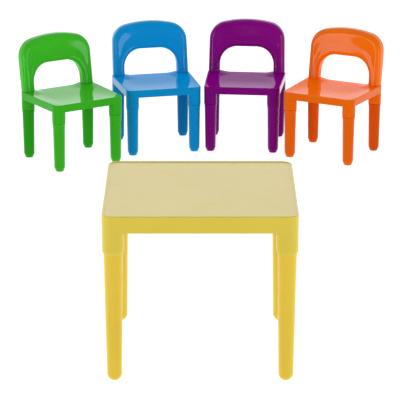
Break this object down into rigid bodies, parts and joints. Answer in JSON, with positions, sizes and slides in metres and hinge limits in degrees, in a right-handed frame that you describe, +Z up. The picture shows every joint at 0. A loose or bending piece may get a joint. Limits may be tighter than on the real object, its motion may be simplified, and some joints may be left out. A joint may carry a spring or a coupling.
{
  "type": "kids table and chairs set",
  "caption": "Square children's table on tapered round legs with a row of small arch-back chairs in bright moulded plastic.",
  "frame": {"origin": "middle of the whole set's footprint, on the floor", "axes": "+Z up from the floor; +Y from the table towards the row of chairs; +X to the right of someone who faces the row from the table"},
  "size_m": [1.2681, 2.4212, 0.45],
  "materials": {
    "yellow_plastic": "satin moulded",
    "yellow_leg_plastic": "satin moulded",
    "green_plastic": "high gloss moulded",
    "blue_plastic": "high gloss moulded",
    "purple_plastic": "high gloss moulded",
    "orange_plastic": "high gloss moulded"
  },
  "bodies": {
    "table": {"table_top": "yellow_plastic", "table_leg_front_left": "yellow_leg_plastic", "table_leg_front_right": "yellow_leg_plastic", "table_leg_rear_right": "yellow_leg_plastic", "table_leg_rear_left": "yellow_leg_plastic"},
    "green_chair": {"green_seat": "green_plastic", "green_backrest": "green_plastic", "green_leg_front_left": "green_plastic", "green_leg_front_right": "green_plastic", "green_leg_rear_right": "green_plastic", "green_leg_rear_left": "green_plastic"},
    "blue_chair": {"blue_seat": "blue_plastic", "blue_backrest": "blue_plastic", "blue_leg_front_left": "blue_plastic", "blue_leg_front_right": "blue_plastic", "blue_leg_rear_right": "blue_plastic", "blue_leg_rear_left": "blue_plastic"},
    "purple_chair": {"purple_seat": "purple_plastic", "purple_backrest": "purple_plastic", "purple_leg_front_left": "purple_plastic", "purple_leg_front_right": "purple_plastic", "purple_leg_rear_right": "purple_plastic", "purple_leg_rear_left": "purple_plastic"},
    "orange_chair": {"orange_seat": "orange_plastic", "orange_backrest": "orange_plastic", "orange_leg_front_left": "orange_plastic", "orange_leg_front_right": "orange_plastic", "orange_leg_rear_right": "orange_plastic", "orange_leg_rear_left": "orange_plastic"}
  },
  "joints": [
    {"name": "green_chair_slide", "type": "slide", "parent": "table", "child": "green_chair", "axis": [-0.5284, 0.849, 0], "range_m": [-0.025, 0.3]},
    {"name": "blue_chair_slide", "type": "slide", "parent": "table", "child": "blue_chair", "axis": [-0.2334, 0.9724, 0], "range_m": [-0.025, 0.3]},
    {"name": "purple_chair_slide", "type": "slide", "parent": "table", "child": "purple_chair", "axis": [0.0993, 0.9951, 0], "range_m": [-0.025, 0.3]},
    {"name": "orange_chair_slide", "type": "slide", "parent": "table", "child": "orange_chair", "axis": [0.4602, 0.8878, 0], "range_m": [-0.025, 0.3]}
  ]
}
